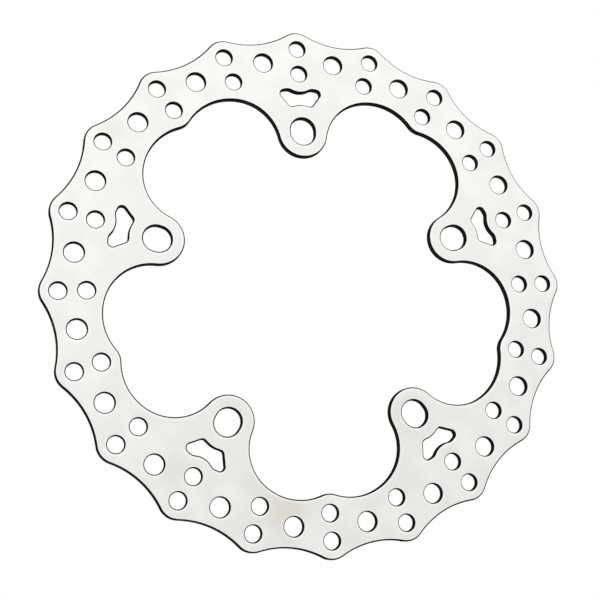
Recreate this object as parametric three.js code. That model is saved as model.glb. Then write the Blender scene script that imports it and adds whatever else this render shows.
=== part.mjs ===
// One-piece wave brake disc of a light motorcycle: a flat ring of ground stainless steel,
// laser cut from sheet, that bolts straight to the spokes of the wheel by five inward lugs.
//
// Millimetres, +Z up. The origin is the centre of the disc, on the wheel's axle line and in the
// middle of the sheet. The axle runs along Y, the outer face looks towards -Y and the face that
// seats on the wheel hub looks towards +Y. One lug points straight down from the top of the ring.

import * as THREE from 'three';

// ---- Sheet ------------------------------------------------------------------------------
const THICKNESS = 4.0;

// ---- Waved outer edge --------------------------------------------------------------------
const WAVE_COUNT = 20;
const CREST_RADIUS = 149.15;       // from the centre to the top of a wave
const TROUGH_RADIUS = 143.27;      // from the centre to the bottom of a wave
const CREST_CURVE = 10.9;          // radius of the rounded crest

// ---- Cooling holes -----------------------------------------------------------------------
const OUTER_ROW = { count: 20, circle: 139.05, diameter: 9.0, turned: 0 };
const MIDDLE_ROW = { count: 20, circle: 131.65, diameter: 10.5, turned: 0.5 };
const INNER_ROW = { count: 20, circle: 124.2, diameter: 9.0, turned: 0 };

// ---- Mounting lugs -----------------------------------------------------------------------
const LUG_COUNT = 5;
const BOLT_CIRCLE = 180;           // pitch circle diameter of the mounting holes
const BOLT_SLOT_WIDTH = 14.0;      // across the slot, along the circle
const BOLT_SLOT_LENGTH = 15.45;    // along the radius, which lets the disc grow when hot
const LUG_TIP_CIRCLE = 89.25;      // radius on which the centre of the lug's round end lies
const LUG_TIP_CURVE = 14.27;
const LUG_NECK_CURVE = 25.93;      // hollow between the lug's round end and the scallop

// ---- Scalloped inner edge ----------------------------------------------------------------
const SCALLOP_CIRCLE = 87.95;      // radius on which the scallop's centre lies
const SCALLOP_ANGLE = 27.0;        // from the lug's centre line to the scallop's centre, degrees
const SCALLOP_CURVE = 29.33;
const CUSP_CURVE = 10.77;          // rounds the point where two scallops meet

// ---- Window in the ring above each lug -----------------------------------------------------
// Half of the outline, from the outer side to the inner one, each corner with its rounding:
// across is measured from the lug's centre line, out from the centre of the disc.
const WINDOW_OUTER_DIP = { across: 0, out: 111.8, rounding: 10.9 };
const WINDOW_INNER_DIP = { across: 0, out: 106.1, rounding: 12.0 };
const WINDOW_SIDE = [
  { across: 6.65, out: 115.0, rounding: 4.35 },
  { across: 11.45, out: 114.15, rounding: 2.2 },
  { across: 11.5, out: 111.45, rounding: 1.35 },
  { across: 6.25, out: 104.7, rounding: 2.1 },
];

// ---- Steps in the curves -------------------------------------------------------------------
const COOLING_HOLE_STEPS = 16;
const BOLT_SLOT_STEPS = 14;        // in each of the slot's two round ends
const CREST_STEPS = 6;
const TROUGH_STEPS = 6;
const TIP_STEPS = 8;               // in each half of a lug's end
const NECK_STEPS = 7;
const SCALLOP_STEPS = 8;
const CUSP_STEPS = 3;              // in each half of a cusp
const WINDOW_CORNER_STEPS = 4;

// ---- Small plane geometry ------------------------------------------------------------------
const FULL_TURN = 2 * Math.PI;
const HALF_WAVE = Math.PI / WAVE_COUNT;
const HALF_LUG = Math.PI / LUG_COUNT;
const UP = Math.PI / 2;

/** The point at a radius and at an angle away from straight up, anticlockwise. */
function polar(radius, angle) {
  return new THREE.Vector2(-radius * Math.sin(angle), radius * Math.cos(angle));
}

/** Points of an arc round a centre, from one point to another, by the shorter way. */
function arc(centre, from, to, steps) {
  const start = Math.atan2(from.y - centre.y, from.x - centre.x);
  const end = Math.atan2(to.y - centre.y, to.x - centre.x);
  const turn = Math.atan2(Math.sin(end - start), Math.cos(end - start));
  const radius = from.distanceTo(centre);
  const points = [];
  for (let i = 0; i <= steps; i += 1) {
    const angle = start + (turn * i) / steps;
    const spoke = new THREE.Vector2(Math.cos(angle), Math.sin(angle));
    points.push(spoke.multiplyScalar(radius).add(centre));
  }
  return points;
}

/** The point at a distance from one centre on the way to another. */
function towards(from, to, distance) {
  return to.clone().sub(from).setLength(distance).add(from);
}

/** Where circles round two centres cross, on the side that lies further out from the origin. */
function crossing(a, radiusA, b, radiusB) {
  const apart = a.distanceTo(b);
  const along = (radiusA ** 2 - radiusB ** 2 + apart ** 2) / (2 * apart);
  const aside = Math.sqrt(radiusA ** 2 - along ** 2);
  const line = b.clone().sub(a).divideScalar(apart);
  const normal = new THREE.Vector2(-line.y, line.x);
  const foot = a.clone().addScaledVector(line, along);
  const options = [1, -1].map((side) => foot.clone().addScaledVector(normal, side * aside));
  return options[0].length() > options[1].length() ? options[0] : options[1];
}

/** A half outline together with its mirror image across the line straight up. */
function mirrored(half) {
  const other = half.map((point) => new THREE.Vector2(-point.x, point.y)).reverse();
  return [...half, ...other];
}

/** An outline repeated round the centre, anticlockwise. */
function repeated(points, count) {
  const all = [];
  for (let i = 0; i < count; i += 1) {
    const turn = (FULL_TURN * i) / count;
    const centre = new THREE.Vector2();
    all.push(...points.map((point) => point.clone().rotateAround(centre, turn)));
  }
  return all;
}

/** An outline without the points that repeat the one before them. */
function withoutRepeats(points) {
  const nearest = 1e-4;
  return points.filter((point, i) => point.distanceTo(points.at(i - 1)) > nearest);
}

// ---- Outlines ------------------------------------------------------------------------------

/** Crests and troughs are arcs that meet smoothly, so the trough's radius follows. */
function waveOutline() {
  const inset = CREST_RADIUS - CREST_CURVE;
  const spread = inset * Math.cos(HALF_WAVE);
  const troughCurve = (CREST_CURVE ** 2 - TROUGH_RADIUS ** 2 - inset ** 2 + 2 * spread * TROUGH_RADIUS)
    / (2 * (TROUGH_RADIUS - spread - CREST_CURVE));
  const crestCentre = polar(inset, 0);
  const troughCentre = polar(TROUGH_RADIUS + troughCurve, HALF_WAVE);
  const join = towards(crestCentre, troughCentre, CREST_CURVE);
  const half = [
    ...arc(crestCentre, polar(CREST_RADIUS, 0), join, CREST_STEPS / 2),
    ...arc(troughCentre, join, polar(TROUGH_RADIUS, HALF_WAVE), TROUGH_STEPS / 2),
  ];
  const before = mirrored(half).slice(half.length);
  return withoutRepeats(repeated([...before, ...half], WAVE_COUNT));
}

/** The open middle: lug end, neck, scallop and cusp, each tangent to the next. */
function openMiddleOutline() {
  const scallop = polar(SCALLOP_CIRCLE, THREE.MathUtils.degToRad(SCALLOP_ANGLE));
  const tip = polar(LUG_TIP_CIRCLE, 0);
  const neck = crossing(tip, LUG_TIP_CURVE + LUG_NECK_CURVE, scallop, SCALLOP_CURVE - LUG_NECK_CURVE);
  const middle = polar(1, HALF_LUG);
  const along = scallop.dot(middle);
  const aside = scallop.distanceTo(middle.clone().setLength(along));
  const cusp = middle.clone().setLength(along + Math.sqrt((SCALLOP_CURVE + CUSP_CURVE) ** 2 - aside ** 2));
  const tipToNeck = towards(tip, neck, LUG_TIP_CURVE);
  const neckToScallop = towards(scallop, neck, SCALLOP_CURVE);
  const scallopToCusp = towards(scallop, cusp, SCALLOP_CURVE);
  const half = [
    ...arc(tip, polar(LUG_TIP_CIRCLE - LUG_TIP_CURVE, 0), tipToNeck, TIP_STEPS),
    ...arc(neck, tipToNeck, neckToScallop, NECK_STEPS),
    ...arc(scallop, neckToScallop, scallopToCusp, SCALLOP_STEPS),
    ...arc(cusp, scallopToCusp, polar(cusp.length() - CUSP_CURVE, HALF_LUG), CUSP_STEPS),
  ];
  const before = mirrored(half).slice(half.length);
  return withoutRepeats(repeated([...before, ...half], LUG_COUNT));
}

/** A round hole centred at a radius and an angle away from straight up. */
function roundHole(circle, angle, diameter, steps) {
  const centre = polar(circle, angle);
  const points = [];
  for (let i = 0; i < steps; i += 1) {
    const turn = (FULL_TURN * i) / steps;
    const spoke = new THREE.Vector2(Math.cos(turn), Math.sin(turn));
    points.push(spoke.multiplyScalar(diameter / 2).add(centre));
  }
  return points;
}

/** The mounting slot of the top lug: two half circles joined by short straight sides. */
function boltSlotOutline() {
  const end = BOLT_SLOT_WIDTH / 2;
  const shift = (BOLT_SLOT_LENGTH - BOLT_SLOT_WIDTH) / 2;
  const points = [];
  for (const side of [1, -1]) {
    for (let i = 0; i <= BOLT_SLOT_STEPS; i += 1) {
      const turn = (Math.PI * i) / BOLT_SLOT_STEPS + (side > 0 ? 0 : Math.PI);
      const x = end * Math.cos(turn);
      const y = BOLT_CIRCLE / 2 + side * shift + end * Math.sin(turn);
      points.push(new THREE.Vector2(x, y));
    }
  }
  return points;
}

/** The window above the top lug: a closed line through its corners, each of them rounded. */
function windowOutline() {
  const otherSide = WINDOW_SIDE.map((corner) => ({ ...corner, across: -corner.across })).reverse();
  const corners = [WINDOW_OUTER_DIP, ...WINDOW_SIDE, WINDOW_INNER_DIP, ...otherSide];
  const place = (corner) => new THREE.Vector2(corner.across, corner.out);
  const points = [];
  corners.forEach((corner, i) => {
    const here = place(corner);
    const back = place(corners.at(i - 1)).sub(here).normalize();
    const on = place(corners[(i + 1) % corners.length]).sub(here).normalize();
    const halfAngle = Math.acos(back.dot(on)) / 2;
    const reach = corner.rounding / Math.tan(halfAngle);
    const depth = corner.rounding / Math.sin(halfAngle);
    const centre = back.clone().add(on).setLength(depth).add(here);
    const from = back.clone().setLength(reach).add(here);
    const to = on.clone().setLength(reach).add(here);
    points.push(...arc(centre, from, to, WINDOW_CORNER_STEPS));
  });
  return withoutRepeats(points);
}

/** Every opening that is cut through the ring. */
function cutOutlines() {
  const outlines = [openMiddleOutline()];
  for (const row of [OUTER_ROW, MIDDLE_ROW, INNER_ROW]) {
    for (let i = 0; i < row.count; i += 1) {
      const angle = ((i + row.turned) * FULL_TURN) / row.count;
      outlines.push(roundHole(row.circle, angle, row.diameter, COOLING_HOLE_STEPS));
    }
  }
  for (const outline of [boltSlotOutline(), windowOutline()]) {
    const centre = new THREE.Vector2();
    for (let i = 0; i < LUG_COUNT; i += 1) {
      const turn = (FULL_TURN * i) / LUG_COUNT;
      outlines.push(outline.map((point) => point.clone().rotateAround(centre, turn)));
    }
  }
  return outlines;
}

// ---- The disc --------------------------------------------------------------------------------
function brakeDisc() {
  const shape = new THREE.Shape(waveOutline());
  shape.holes = cutOutlines().map((points) => new THREE.Path(points));
  const geometry = new THREE.ExtrudeGeometry(shape, {
    depth: THICKNESS,
    steps: 1,
    bevelEnabled: false,
  });
  geometry.translate(0, 0, -THICKNESS / 2);
  const steel = new THREE.MeshStandardMaterial({ color: 0xd9d9d6, roughness: 0.35, metalness: 1.0 });
  const mesh = new THREE.Mesh(geometry, steel);
  mesh.name = 'brake_disc';
  mesh.rotation.x = UP;            // stands the disc up: its outer face looks towards -Y
  return mesh;
}

const group = new THREE.Group();
group.add(brakeDisc());

export default group;
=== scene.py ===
"""The look of a one-piece wave brake disc: its finely ground faces, its broken edges and its dark laser-cut
walls, a plain white studio and the camera. Metres, +Z up. The disc stands upright, with the wheel's axle
along Y, its outer face towards -Y and one lug pointing straight down from the top of the ring."""

import math

import bpy
from mathutils import Matrix, Vector
from mathutils.geometry import delaunay_2d_cdt


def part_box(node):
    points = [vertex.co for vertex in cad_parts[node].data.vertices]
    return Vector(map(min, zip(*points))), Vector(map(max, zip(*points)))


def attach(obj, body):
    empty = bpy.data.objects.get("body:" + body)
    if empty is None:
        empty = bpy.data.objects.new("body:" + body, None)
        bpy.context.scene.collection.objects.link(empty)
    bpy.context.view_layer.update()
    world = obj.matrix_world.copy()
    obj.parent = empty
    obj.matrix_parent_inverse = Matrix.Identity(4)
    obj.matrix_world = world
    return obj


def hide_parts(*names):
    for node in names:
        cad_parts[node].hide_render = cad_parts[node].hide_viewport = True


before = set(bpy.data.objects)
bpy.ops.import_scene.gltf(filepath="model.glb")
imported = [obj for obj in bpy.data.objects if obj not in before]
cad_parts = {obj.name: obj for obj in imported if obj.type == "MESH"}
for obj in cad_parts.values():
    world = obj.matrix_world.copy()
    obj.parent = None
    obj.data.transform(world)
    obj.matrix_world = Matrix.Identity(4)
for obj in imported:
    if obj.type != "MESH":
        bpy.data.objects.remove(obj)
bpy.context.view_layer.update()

MM = 0.001
DISC_NODE = "brake_disc"
FULL_TURN = 2 * math.pi

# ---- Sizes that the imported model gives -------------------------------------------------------
disc_low, disc_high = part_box(DISC_NODE)
CREST_RADIUS = (disc_high.z - disc_low.z) / 2
FRONT = disc_low.y                 # the outer face

# ---- The outlines, as the CAD model has them ---------------------------------------------------
WAVE_COUNT = 20
TROUGH_RADIUS = 143.27 * MM
CREST_CURVE = 10.9 * MM

COOLING_ROWS = {                   # circle the centres lie on, hole's diameter, share of a step turned
    "outer": (139.05 * MM, 9.0 * MM, 0.0),
    "middle": (131.65 * MM, 10.5 * MM, 0.5),
    "inner": (124.2 * MM, 9.0 * MM, 0.0),
}

LUG_COUNT = 5
BOLT_CIRCLE = 180.0 * MM
BOLT_SLOT_WIDTH = 14.0 * MM
BOLT_SLOT_LENGTH = 15.45 * MM
LUG_TIP_CIRCLE = 89.25 * MM
LUG_TIP_CURVE = 14.27 * MM
LUG_NECK_CURVE = 25.93 * MM

SCALLOP_CIRCLE = 87.95 * MM
SCALLOP_ANGLE = math.radians(27.0)
SCALLOP_CURVE = 29.33 * MM
CUSP_CURVE = 10.77 * MM

WINDOW_OUTER_DIP = (0.0, 111.8 * MM, 10.9 * MM)      # across, out from the centre, rounding
WINDOW_INNER_DIP = (0.0, 106.1 * MM, 12.0 * MM)
WINDOW_SIDE = [
    (6.65 * MM, 115.0 * MM, 4.35 * MM),
    (11.45 * MM, 114.15 * MM, 2.2 * MM),
    (11.5 * MM, 111.45 * MM, 1.35 * MM),
    (6.25 * MM, 104.7 * MM, 2.1 * MM),
]

# ---- The edge, as the finished disc has it -----------------------------------------------------
# A break is as deep as it is wide. The first number is its width on the outer face, the second on the inner.
HOLE_BREAK = (0.5 * MM, 0.5 * MM)
WAVE_BREAK = (0.8 * MM, 0.2 * MM)
CUT_BREAK = (0.64 * MM, 0.2 * MM)  # round the open middle, the bolt slots and the windows
CHORD_ERROR = 0.012 * MM           # how far a chord may leave its arc
EDGE_SOFTENING = 0.08 * MM         # how far the broken edge's own corners are rounded
RIM_BAND = 2.0 * MM                # band of the face that the attribute "rim", and with it the painted highlight beside the edges, fades over
WALL_GUARD = 0.1 * MM              # keeps the wall's shading flat up to its ends
SAME_POINT = 0.1 * CHORD_ERROR     # points nearer than this would be joined
INSIDE_WITH_HOLES = 2              # how delaunay_2d_cdt is asked to fill the face and leave the holes

FACE, BROKEN_EDGE, WALL = 0, 1, 2  # the piece's material slots


# ---- Small plane geometry ------------------------------------------------------------------------
def polar(radius, angle):
    """The point at a radius and at an angle away from straight up, anticlockwise."""
    return Vector((-radius * math.sin(angle), radius * math.cos(angle)))


def unit(angle):
    return Vector((math.cos(angle), math.sin(angle)))


def turned(point, angle):
    cosine, sine = math.cos(angle), math.sin(angle)
    return Vector((point.x * cosine - point.y * sine, point.x * sine + point.y * cosine))


def towards(start, end, distance):
    """The point at a distance from one point on the way to another."""
    return start + (end - start).normalized() * distance


def steps_for(turn, radius):
    """How many chords keep within the chord error on that much of a circle."""
    return max(2, math.ceil(abs(turn) / (2 * math.acos(1 - CHORD_ERROR / radius))))


def arc(centre, start, end):
    """Points of an arc from one point to another by the shorter way, without the last one."""
    first = math.atan2(start.y - centre.y, start.x - centre.x)
    last = math.atan2(end.y - centre.y, end.x - centre.x)
    turn = math.remainder(last - first, FULL_TURN)
    radius = (start - centre).length
    steps = steps_for(turn, radius)
    return [centre + unit(first + turn * i / steps) * radius for i in range(steps)]


def outer_crossing(a, radius_a, b, radius_b):
    """Where circles round two centres cross, on the side that lies further out from the origin."""
    apart = (b - a).length
    along = (radius_a ** 2 - radius_b ** 2 + apart ** 2) / (2 * apart)
    aside = math.sqrt(radius_a ** 2 - along ** 2)
    line = (b - a) / apart
    foot = a + line * along
    normal = Vector((-line.y, line.x))
    return max(foot + normal * aside, foot - normal * aside, key=lambda point: point.length)


def across_and_back(half):
    """A half outline that starts on the line straight up, with its mirror image before it."""
    other = [Vector((-point.x, point.y)) for point in half[1:]]
    return other[::-1] + half


def repeated(points, count):
    """Points repeated round the centre, anticlockwise."""
    return [turned(point, FULL_TURN * i / count) for i in range(count) for point in points]


def left_of(direction):
    return Vector((-direction.y, direction.x)).normalized()


def inset(outline, distance):
    """The outline moved into the metal, which lies on its left."""
    moved = []
    for i, here in enumerate(outline):
        before, after = outline[i - 1], outline[(i + 1) % len(outline)]
        into = left_of(here - before) + left_of(after - here)
        moved.append(here + into * (2 * distance / into.length_squared))
    return moved


# ---- Outlines, each with the metal on its left -----------------------------------------------------
def wave_outline():
    """Crests and troughs are arcs that meet smoothly, so the trough's radius follows."""
    inner = CREST_RADIUS - CREST_CURVE
    half_wave = math.pi / WAVE_COUNT
    spread = inner * math.cos(half_wave)
    above = CREST_CURVE ** 2 - TROUGH_RADIUS ** 2 - inner ** 2 + 2 * spread * TROUGH_RADIUS
    trough_curve = above / (2 * (TROUGH_RADIUS - spread - CREST_CURVE))
    crest_centre = polar(inner, 0)
    trough_centre = polar(TROUGH_RADIUS + trough_curve, half_wave)
    join = towards(crest_centre, trough_centre, CREST_CURVE)
    half = arc(crest_centre, polar(CREST_RADIUS, 0), join)
    half += arc(trough_centre, join, polar(TROUGH_RADIUS, half_wave))
    bottom = [polar(TROUGH_RADIUS, half_wave)]
    return repeated(across_and_back(half) + bottom, WAVE_COUNT)


def open_middle():
    """Lug end, neck, scallop and cusp, each tangent to the next."""
    half_lug = math.pi / LUG_COUNT
    scallop = polar(SCALLOP_CIRCLE, SCALLOP_ANGLE)
    tip = polar(LUG_TIP_CIRCLE, 0)
    neck = outer_crossing(tip, LUG_TIP_CURVE + LUG_NECK_CURVE, scallop, SCALLOP_CURVE - LUG_NECK_CURVE)
    middle = polar(1, half_lug)
    along = scallop.dot(middle)
    aside = (scallop - middle * along).length
    cusp = middle * (along + math.sqrt((SCALLOP_CURVE + CUSP_CURVE) ** 2 - aside ** 2))
    tip_to_neck = towards(tip, neck, LUG_TIP_CURVE)
    neck_to_scallop = towards(scallop, neck, SCALLOP_CURVE)
    scallop_to_cusp = towards(scallop, cusp, SCALLOP_CURVE)
    cusp_point = middle * (cusp.length - CUSP_CURVE)
    half = arc(tip, polar(LUG_TIP_CIRCLE - LUG_TIP_CURVE, 0), tip_to_neck)
    half += arc(neck, tip_to_neck, neck_to_scallop)
    half += arc(scallop, neck_to_scallop, scallop_to_cusp)
    half += arc(cusp, scallop_to_cusp, cusp_point)
    return repeated(across_and_back(half) + [cusp_point], LUG_COUNT)[::-1]


def cooling_hole(circle, angle, diameter):
    centre = polar(circle, angle)
    steps = steps_for(FULL_TURN, diameter / 2)
    return [centre + unit(-FULL_TURN * i / steps) * (diameter / 2) for i in range(steps)]


def bolt_slot():
    """The mounting slot of the top lug: two half circles joined by short straight sides."""
    end = BOLT_SLOT_WIDTH / 2
    shift = (BOLT_SLOT_LENGTH - BOLT_SLOT_WIDTH) / 2
    steps = steps_for(math.pi, end)
    points = []
    for side in (1, -1):
        centre = Vector((0, BOLT_CIRCLE / 2 + side * shift))
        points += [centre + unit(math.pi * i / steps) * (side * end) for i in range(steps + 1)]
    return points[::-1]


def window():
    """The window above the top lug: a closed line through its corners, each of them rounded."""
    other_side = [(-across, out, rounding) for across, out, rounding in WINDOW_SIDE[::-1]]
    corners = [WINDOW_OUTER_DIP, *WINDOW_SIDE, WINDOW_INNER_DIP, *other_side]
    places = [Vector(corner[:2]) for corner in corners]
    points = []
    for i, (_, _, rounding) in enumerate(corners):
        here = places[i]
        back = (places[i - 1] - here).normalized()
        on = (places[(i + 1) % len(places)] - here).normalized()
        half_angle = back.angle(on) / 2
        centre = here + (back + on).normalized() * (rounding / math.sin(half_angle))
        reach = rounding / math.tan(half_angle)
        points += arc(centre, here + back * reach, here + on * reach)
        points.append(here + on * reach)
    return points


def all_outlines():
    """The outer edge first, then every opening that is cut through the ring, each with its edge break."""
    outlines = [(wave_outline(), WAVE_BREAK), (open_middle(), CUT_BREAK)]
    for circle, diameter, turn in COOLING_ROWS.values():
        for i in range(WAVE_COUNT):
            angle = (i + turn) * FULL_TURN / WAVE_COUNT
            outlines.append((cooling_hole(circle, angle, diameter), HOLE_BREAK))
    for outline in (bolt_slot(), window()):
        for i in range(LUG_COUNT):
            points = [turned(point, FULL_TURN * i / LUG_COUNT) for point in outline]
            outlines.append((points, CUT_BREAK))
    return outlines


# ---- The disc's mesh -----------------------------------------------------------------------------
def softened(before, corner, after):
    """A corner of the edge's profile rounded off by three points of a quadratic curve."""
    start = towards(corner, before, EDGE_SOFTENING)
    end = towards(corner, after, EDGE_SOFTENING)
    return [start, (start + corner * 2 + end) / 4, end]


def half_profile(edge_break):
    """Steps from one face to just past the broken edge, as (into the metal, depth, rim, material)."""
    on_face = Vector((edge_break + RIM_BAND, 0))
    face_corner = Vector((edge_break, 0))
    wall_corner = Vector((0, edge_break))
    on_wall = Vector((0, edge_break + EDGE_SOFTENING + WALL_GUARD))
    steps = [on_face]
    steps += softened(on_face, face_corner, wall_corner)
    steps += softened(face_corner, wall_corner, on_wall)
    steps.append(on_wall)
    kinds = [FACE] + [BROKEN_EDGE] * (len(steps) - 3) + [WALL, WALL]
    return [(step.x, step.y, float(i > 0), kind) for i, (step, kind) in enumerate(zip(steps, kinds))]


def edge_profile(breaks):
    """Steps from the outer face to the inner one, as (into the metal, Y, rim, material after or None)."""
    near, far = half_profile(breaks[0]), half_profile(breaks[1])
    outer = [(into, FRONT + depth, rim, kind) for into, depth, rim, kind in near]
    kinds = [kind for _, _, _, kind in far[:-1]][::-1] + [None]
    inner = [(into, -FRONT - depth, rim, kind) for (into, depth, rim, _), kind in zip(far[::-1], kinds)]
    return outer + inner


def cap_triangles(loops):
    """Triangles between the outer loop and the others, as numbers of the points, anticlockwise."""
    points, faces = [], []
    for loop in loops:
        faces.append(list(range(len(points), len(points) + len(loop))))
        points += loop
    result = delaunay_2d_cdt(points, [], faces, INSIDE_WITH_HOLES, SAME_POINT)
    made, triangles, origins = result[0], result[2], result[3]
    source = [origin[0] for origin in origins]
    if len(made) != len(points):
        raise RuntimeError("the outlines of the face touch each other")
    return [[source[corner] for corner in triangle] for triangle in triangles]


def strip(first, count):
    """Faces between a loop of points and the loop that follows it."""
    faces = []
    for i in range(count):
        after = (i + 1) % count
        faces.append((first + i, first + count + i, first + count + after, first + after))
    return faces


def cap(loops, flipped):
    """Faces that fill one side of the disc. Each loop comes with the number of its first point."""
    numbers = [start + i for start, loop in loops for i in range(len(loop))]
    triangles = cap_triangles([loop for _, loop in loops])
    faces = [[numbers[corner] for corner in triangle] for triangle in triangles]
    return [face[::-1] for face in faces] if flipped else faces


def disc_surface():
    """Every outline is carried across the edge's profile, and the two faces close it."""
    points, faces, materials, rims = [], [], [], []
    outer_loops, inner_loops = [], []
    for outline, breaks in all_outlines():
        profile = edge_profile(breaks)
        loops = [inset(outline, into) for into, _, _, _ in profile]
        outer_loops.append((len(points), loops[0]))
        for loop, (_, y, rim, kind) in zip(loops, profile):
            if kind is not None:
                faces += strip(len(points), len(loop))
                materials += [kind] * len(loop)
            points += [(point.x, y, point.y) for point in loop]
            rims += [rim] * len(loop)
        inner_loops.append((len(points) - len(outline), loops[-1]))
    for side in (cap(outer_loops, flipped=False), cap(inner_loops, flipped=True)):
        faces += side
        materials += [FACE] * len(side)
    return points, faces, materials, rims


def disc_mesh():
    points, faces, materials, rims = disc_surface()
    mesh = bpy.data.meshes.new("ground_disc")
    mesh.from_pydata(points, [], faces)
    mesh.polygons.foreach_set("material_index", materials)
    mesh.polygons.foreach_set("use_smooth", [True] * len(faces))
    rim = mesh.attributes.new("rim", "FLOAT", "POINT")
    rim.data.foreach_set("value", rims)
    mesh.update()
    return mesh


# ---- Node helpers ----------------------------------------------------------------------------------
def add(tree, kind, settings=None, **inputs):
    """A node with its settings and inputs. An input that is another node's socket is linked."""
    node = tree.nodes.new(kind)
    for name, value in (settings or {}).items():
        setattr(node, name, value)
    for name, value in inputs.items():
        place = node.inputs[int(name[1:])] if name[0] == "_" else node.inputs[name.replace("_", " ")]
        if isinstance(value, bpy.types.NodeSocket):
            tree.links.new(value, place)
        else:
            place.default_value = value
    return node


def blank_material(name):
    material = bpy.data.materials.new(name)
    material.use_nodes = True
    material.node_tree.nodes.clear()
    return material, material.node_tree


def finish_material(tree, shader):
    output = add(tree, "ShaderNodeOutputMaterial")
    tree.links.new(shader.outputs["BSDF"], output.inputs["Surface"])


def object_place(tree, stretch=(1, 1, 1)):
    """Object coordinates, shrunk along an axis where the pattern is to be long along it."""
    place = add(tree, "ShaderNodeTexCoord").outputs["Object"]
    return add(tree, "ShaderNodeMapping", Vector=place, Scale=stretch).outputs["Vector"]


def noise(tree, place, grain, detail=2.0, roughness=0.5):
    """Noise from 0 to 1 whose blotches are about a grain wide."""
    settings = {"noise_dimensions": "3D"}
    texture = add(tree, "ShaderNodeTexNoise", settings, Vector=place, Scale=1 / grain,
                  Detail=detail, Roughness=roughness)
    return texture.outputs["Fac"]


def spread(tree, value, low, high, to_low=0.0, to_high=1.0):
    """A value moved smoothly from one range to another, and held at the ends."""
    settings = {"interpolation_type": "SMOOTHSTEP", "clamp": True}
    node = add(tree, "ShaderNodeMapRange", settings, _0=value, _1=low, _2=high, _3=to_low, _4=to_high)
    return node.outputs["Result"]


def sum_of(tree, *values):
    total = values[0]
    for value in values[1:]:
        total = add(tree, "ShaderNodeMath", {"operation": "ADD"}, _0=total, _1=value).outputs[0]
    return total


def product(tree, *values):
    total = values[0]
    for value in values[1:]:
        total = add(tree, "ShaderNodeMath", {"operation": "MULTIPLY"}, _0=total, _1=value).outputs[0]
    return total


def mixed(tree, share, first, second):
    """Two colours mixed, either of them a colour or another node's socket."""
    node = add(tree, "ShaderNodeMix", {"data_type": "RGBA"}, _0=share, _6=first, _7=second)
    return node.outputs[2]


def bumped(tree, height, depth, strength=1.0):
    node = add(tree, "ShaderNodeBump", Height=height, Distance=depth, Strength=strength)
    return node.outputs["Normal"]


# ---- The ground faces ----------------------------------------------------------------------------------
STEEL_BRIGHT = (0.93, 0.93, 0.907, 1)
STEEL_CLOUDED = (0.873, 0.877, 0.853, 1)
STEEL_UNSWEPT = (0.868, 0.871, 0.848, 1)
STEEL_STAINED = (0.8, 0.775, 0.725, 1)
STEEL_PITTED = (0.3, 0.29, 0.28, 1)
STEEL_EDGE_HIGHLIGHT = (0.98, 0.98, 0.96, 1)   # painted highlight: a paler band beside the broken edges
CLOUD_SIZE = 17 * MM
STREAK_WIDTH = 1.1 * MM
GRAIN_WIDTH = 0.22 * MM
STREAK_STRETCH = (1, 1, 0.035)     # the grinding runs up and down, so its marks are long along Z
GRAIN_STRETCH = (1, 1, 0.05)
CLOUD_SHARE, STREAK_SHARE, GRAIN_SHARE = 0.9, 0.06, 0.04    # of the tone
TONE_RANGE = (0.36, 0.64)          # from clouded to bright
ON_THE_FACE = (1, 0, 1)            # the place on the face, whatever the depth in the sheet
SWEPT_FROM = 104 * MM              # the pads keep the ring brighter than the lugs inside it
SWEPT_FULLY_FROM = 114 * MM
UNSWEPT_SHARE = 0.8
PIT_SIZE = 1.6 * MM
PIT_RANGE = (0.79, 0.83)           # so few places are pitted
PIT_SHARE = 0.35
GROUND_ROUGHNESS = 0.27
STREAK_ROUGHNESS = 0.1             # added where a streak or a cloud is
CLOUD_ROUGHNESS = 0.06
GRAIN_RELIEF = 0.6                 # how high the grain stands beside the streaks
GRINDING_DEPTH = 0.02 * MM
STAINS = [                         # faint brown smudges on the outer face: across, up, radius, depth
    (-26 * MM, -121 * MM, 19 * MM, 1.0),
    (-82 * MM, -96 * MM, 15 * MM, 0.5),
    (-43 * MM, -106 * MM, 10 * MM, 0.4),
    (-52 * MM, -62 * MM, 13 * MM, 0.4),
    (50 * MM, -72 * MM, 17 * MM, 0.6),
    (-106 * MM, 88 * MM, 9 * MM, 0.6),
]
STAIN_RAGGEDNESS = 8 * MM
STAIN_FULL_WITHIN, STAIN_GONE_BEYOND = 0.6, 1.6             # as shares of the smudge's radius


def smudge(tree, place, ragged, across, up, radius, depth):
    """How much of a smudge with a ragged edge there is."""
    centre = (across, 0, up)
    away = add(tree, "ShaderNodeVectorMath", {"operation": "DISTANCE"}, _0=place, _1=centre).outputs["Value"]
    uneven = sum_of(tree, away, product(tree, ragged, radius))
    return spread(tree, uneven, radius * STAIN_FULL_WITHIN, radius * STAIN_GONE_BEYOND, depth, 0.0)


def stains_on_outer_face(tree, plain, flat):
    """The share of brown smudge at a place, none on the inner face."""
    ragged = noise(tree, plain, grain=STAIN_RAGGEDNESS, detail=4, roughness=0.6)
    stains = sum_of(tree, *[smudge(tree, flat, ragged, *stain) for stain in STAINS])
    axle = add(tree, "ShaderNodeSeparateXYZ", Vector=plain).outputs["Y"]
    return product(tree, stains, spread(tree, axle, FRONT / 2, -FRONT / 2, 1.0, 0.0))


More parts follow.
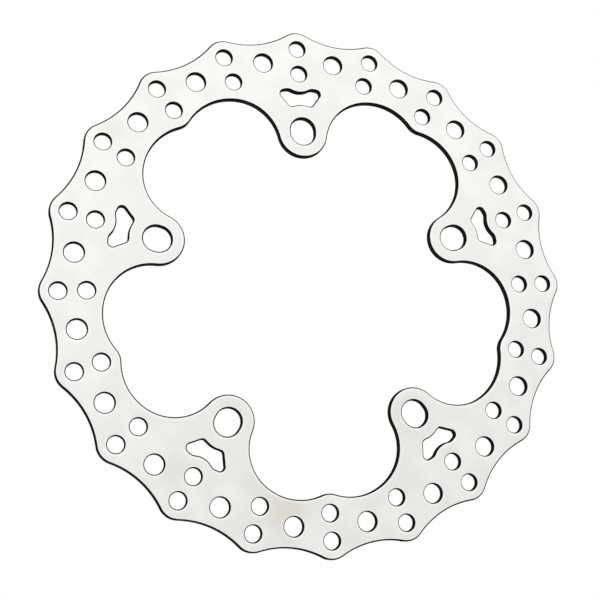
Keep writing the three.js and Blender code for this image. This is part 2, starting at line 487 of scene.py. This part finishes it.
def ground_colour(tree, plain, tone):
    """The clouded steel, then the greyer lugs, the smudges, the pits and a painted highlight beside the
    edges.
    """
    colour = mixed(tree, spread(tree, tone, *TONE_RANGE), STEEL_CLOUDED, STEEL_BRIGHT)
    flat = object_place(tree, ON_THE_FACE)
    radius = add(tree, "ShaderNodeVectorMath", {"operation": "LENGTH"}, _0=flat).outputs["Value"]
    unswept = spread(tree, radius, SWEPT_FROM, SWEPT_FULLY_FROM, UNSWEPT_SHARE, 0.0)
    colour = mixed(tree, unswept, colour, STEEL_UNSWEPT)
    colour = mixed(tree, stains_on_outer_face(tree, plain, flat), colour, STEEL_STAINED)
    specks = noise(tree, plain, grain=PIT_SIZE, detail=2, roughness=0.5)
    pits = product(tree, spread(tree, specks, *PIT_RANGE), PIT_SHARE)
    colour = mixed(tree, pits, colour, STEEL_PITTED)
    rim = add(tree, "ShaderNodeAttribute", {"attribute_name": "rim"}).outputs["Fac"]
    # painted highlight: the face is painted paler towards the broken edges
    return mixed(tree, product(tree, rim, rim, rim), colour, STEEL_EDGE_HIGHLIGHT)


def ground_steel():
    """The faces: stainless steel finely ground up and down, with faint clouds and smudges."""
    material, tree = blank_material("ground_steel")
    plain = object_place(tree)
    clouds = noise(tree, plain, grain=CLOUD_SIZE, detail=4, roughness=0.5)
    streaks = noise(tree, object_place(tree, STREAK_STRETCH), grain=STREAK_WIDTH, detail=4, roughness=0.65)
    grain = noise(tree, object_place(tree, GRAIN_STRETCH), grain=GRAIN_WIDTH, detail=2, roughness=0.6)
    tone = sum_of(tree, product(tree, clouds, CLOUD_SHARE), product(tree, streaks, STREAK_SHARE),
                  product(tree, grain, GRAIN_SHARE))
    colour = ground_colour(tree, plain, tone)
    roughness = sum_of(tree, GROUND_ROUGHNESS, product(tree, streaks, STREAK_ROUGHNESS),
                       product(tree, clouds, CLOUD_ROUGHNESS))
    relief = sum_of(tree, streaks, product(tree, grain, GRAIN_RELIEF))
    shader = add(tree, "ShaderNodeBsdfPrincipled", Base_Color=colour, Metallic=1.0, Roughness=roughness,
                 Normal=bumped(tree, relief, GRINDING_DEPTH, strength=0.4))
    finish_material(tree, shader)
    return material


# ---- The broken edge -----------------------------------------------------------------------------------
# painted shade: the broken edge's near-black colours stand in for the dark room it reflects
EDGE_SHADE_DARK = (0.01, 0.01, 0.0095, 1)
EDGE_SHADE_BLUISH = (0.009, 0.0095, 0.02, 1)
TINT_SIZE = 9 * MM
TINT_RANGE = (0.45, 0.62)          # from the painted dark shade to its bluish patches
SCRATCH_WIDTH = 0.18 * MM
SCRATCH_STRETCH = (1, 0.3, 1)      # scratches cross the broken edge
SCRATCH_DEPTH = 0.02 * MM
EDGE_ROUGHNESS = 0.3
SCRATCH_ROUGHNESS = 0.2            # added where a scratch is


def broken_edge():
    """The narrow bevel round every outline: painted near-black shade in place of the dark room it reflects,
    bluish in patches.
    """
    material, tree = blank_material("broken_edge")
    patches = noise(tree, object_place(tree), grain=TINT_SIZE, detail=3, roughness=0.6)
    # painted shade: near-black, bluish in patches
    colour = mixed(tree, spread(tree, patches, *TINT_RANGE), EDGE_SHADE_DARK, EDGE_SHADE_BLUISH)
    across = object_place(tree, SCRATCH_STRETCH)
    scratches = noise(tree, across, grain=SCRATCH_WIDTH, detail=2, roughness=0.6)
    roughness = sum_of(tree, EDGE_ROUGHNESS, product(tree, scratches, SCRATCH_ROUGHNESS))
    shader = add(tree, "ShaderNodeBsdfPrincipled", Base_Color=colour, Metallic=1.0, Roughness=roughness,
                 Normal=bumped(tree, scratches, SCRATCH_DEPTH, strength=0.5))
    finish_material(tree, shader)
    return material


# ---- The laser-cut wall --------------------------------------------------------------------------------
WALL_DARK = (0.018, 0.018, 0.0185, 1)
WALL_WORN = (0.045, 0.045, 0.047, 1)
WALL_NO_GLINT = (0, 0, 0, 1)       # soot takes the highlight off the wall
LINE_WIDTH = 0.3 * MM
LINE_STRETCH = (1, 0.06, 1)        # the beam's lines run through the sheet, along Y
LINE_DEPTH = 0.05 * MM
SCALE_SIZE = 6 * MM
LINE_SHARE, SCALE_SHARE = 0.6, 0.4     # of the wall's tone
WALL_RANGE = (0.3, 0.7)            # from dark to worn
WALL_ROUGHNESS = 0.5
SCALE_ROUGHNESS = 0.2              # added where the scale is worn


def laser_cut_wall():
    """The cut through the sheet: near-black scale with fine lines that the beam left across it."""
    material, tree = blank_material("laser_cut_wall")
    lines = noise(tree, object_place(tree, LINE_STRETCH), grain=LINE_WIDTH, detail=2, roughness=0.55)
    scale = noise(tree, object_place(tree), grain=SCALE_SIZE, detail=3, roughness=0.6)
    tone = sum_of(tree, product(tree, lines, LINE_SHARE), product(tree, scale, SCALE_SHARE))
    colour = mixed(tree, spread(tree, tone, *WALL_RANGE), WALL_DARK, WALL_WORN)
    roughness = sum_of(tree, WALL_ROUGHNESS, product(tree, scale, SCALE_ROUGHNESS))
    shader = add(tree, "ShaderNodeBsdfPrincipled", Base_Color=colour, Metallic=1.0, Roughness=roughness,
                 Specular_Tint=WALL_NO_GLINT, Normal=bumped(tree, lines, LINE_DEPTH, strength=0.6))
    finish_material(tree, shader)
    return material


# ---- The disc ------------------------------------------------------------------------------------------
def finished_disc():
    disc = bpy.data.objects.new("ground_brake_disc", disc_mesh())
    bpy.context.scene.collection.objects.link(disc)
    for material in (ground_steel(), broken_edge(), laser_cut_wall()):
        disc.data.materials.append(material)
    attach(disc, "root")
    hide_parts(DISC_NODE)
    return disc


# ---- The studio ------------------------------------------------------------------------------------------
FLOOR_BELOW_AXLE = 0.30            # about where the ground is under a wheel's axle
FLOOR_RADIUS = 1.9
FLOOR_FADES_FROM = 0.7             # from this radius outwards the floor melts into the white room
FLOOR_SIDES = 96
FLOOR_PLANE = (1, 1, 0)            # the place on the floor, whatever the height
FLOOR_COLOUR = (0.93, 0.93, 0.93, 1)
WHITE = (1, 1, 1, 1)
BACKDROP_LIGHT = 1.0               # what the camera sees of the room is pure white
ROOM_LIGHT = 0.84                  # how bright the same room is to the disc and the floor
SOFTBOXES = {                      # direction from the disc, distance, side of the square, brightness
    "front": ((0.10, -0.80, 0.575), 1.8, 2.2, 0.225),
    "behind": ((0.71, 0.33, 0.62), 1.8, 0.8, 1.2),
}


def studio_floor():
    mesh = bpy.data.meshes.new("studio_floor")
    rim = [unit(FULL_TURN * i / FLOOR_SIDES) * FLOOR_RADIUS for i in range(FLOOR_SIDES)]
    mesh.from_pydata([(p.x, p.y, -FLOOR_BELOW_AXLE) for p in rim], [], [range(FLOOR_SIDES)])
    material, tree = blank_material("studio_floor")
    away = add(tree, "ShaderNodeVectorMath", {"operation": "LENGTH"}, _0=object_place(tree, FLOOR_PLANE))
    shown = spread(tree, away.outputs["Value"], FLOOR_FADES_FROM, FLOOR_RADIUS, 1.0, 0.0)
    shader = add(tree, "ShaderNodeBsdfPrincipled", Base_Color=FLOOR_COLOUR, Roughness=0.9,
                 Specular_IOR_Level=0.1, Alpha=shown)
    finish_material(tree, shader)
    mesh.materials.append(material)
    floor = bpy.data.objects.new("studio_floor", mesh)
    bpy.context.scene.collection.objects.link(floor)


def white_room():
    """The background is pure white. What the disc reflects is the same room a little less bright."""
    world = bpy.data.worlds.new("white_room")
    bpy.context.scene.world = world
    world.use_nodes = True
    tree = world.node_tree
    tree.nodes.clear()
    room = add(tree, "ShaderNodeBackground", Color=WHITE, Strength=ROOM_LIGHT)
    backdrop = add(tree, "ShaderNodeBackground", Color=WHITE, Strength=BACKDROP_LIGHT)
    seen = add(tree, "ShaderNodeLightPath").outputs["Is Camera Ray"]
    mix = add(tree, "ShaderNodeMixShader", Fac=seen, _1=room.outputs[0], _2=backdrop.outputs[0])
    output = add(tree, "ShaderNodeOutputWorld")
    tree.links.new(mix.outputs[0], output.inputs["Surface"])


def softbox(name, direction, distance, side, brightness):
    """A square lamp that faces the disc's centre and doesn't show itself."""
    light = bpy.data.lights.new(name, "AREA")
    light.shape = "SQUARE"
    light.size = side
    light.energy = brightness * math.pi * side ** 2    # makes the brightness that of the lamp's face
    lamp = bpy.data.objects.new(name, light)
    away = Vector(direction).normalized()
    lamp.location = away * distance
    lamp.rotation_euler = away.to_track_quat("Z", "Y").to_euler()
    lamp.visible_camera = False
    bpy.context.scene.collection.objects.link(lamp)


def studio():
    studio_floor()
    white_room()
    for name, (direction, distance, side, brightness) in SOFTBOXES.items():
        softbox(f"{name}_softbox", direction, distance, side, brightness)
    bpy.context.scene.view_settings.view_transform = "Standard"


# ---- The camera ----------------------------------------------------------------------------------------
CAMERA_LENS = 73.08                # millimetres, on a sensor 36 mm wide
CAMERA_DISTANCE = 675.2 * MM       # from the centre of the outer face
CAMERA_AZIMUTH = math.radians(-16.167)
CAMERA_ELEVATION = math.radians(-11.316)
CAMERA_ROLL = math.radians(4.153)
CAMERA_AIM = (4.634 * MM, -21.508 * MM)    # where the lens axis meets the outer face: across, up
CAMERA_SHIFT = (-0.0416, 0.0414)   # the photograph is cropped a little off its lens axis
CAMERA_REACH = 30                  # how far it sees


def camera():
    data = bpy.data.cameras.new("camera")
    data.lens = CAMERA_LENS
    data.shift_x, data.shift_y = CAMERA_SHIFT
    data.clip_end = CAMERA_REACH
    eye = bpy.data.objects.new("camera", data)
    level = math.cos(CAMERA_ELEVATION)
    out = Vector((math.sin(CAMERA_AZIMUTH) * level, -math.cos(CAMERA_AZIMUTH) * level,
                  math.sin(CAMERA_ELEVATION)))
    eye.location = Vector((0, FRONT, 0)) + out * CAMERA_DISTANCE
    aim = Vector((CAMERA_AIM[0], FRONT, CAMERA_AIM[1]))
    look = (aim - eye.location).to_track_quat("-Z", "Y").to_matrix().to_4x4()
    eye.rotation_euler = (look @ Matrix.Rotation(-CAMERA_ROLL, 4, "Z")).to_euler()
    bpy.context.scene.collection.objects.link(eye)
    bpy.context.scene.camera = eye


camera()
finished_disc()
studio()
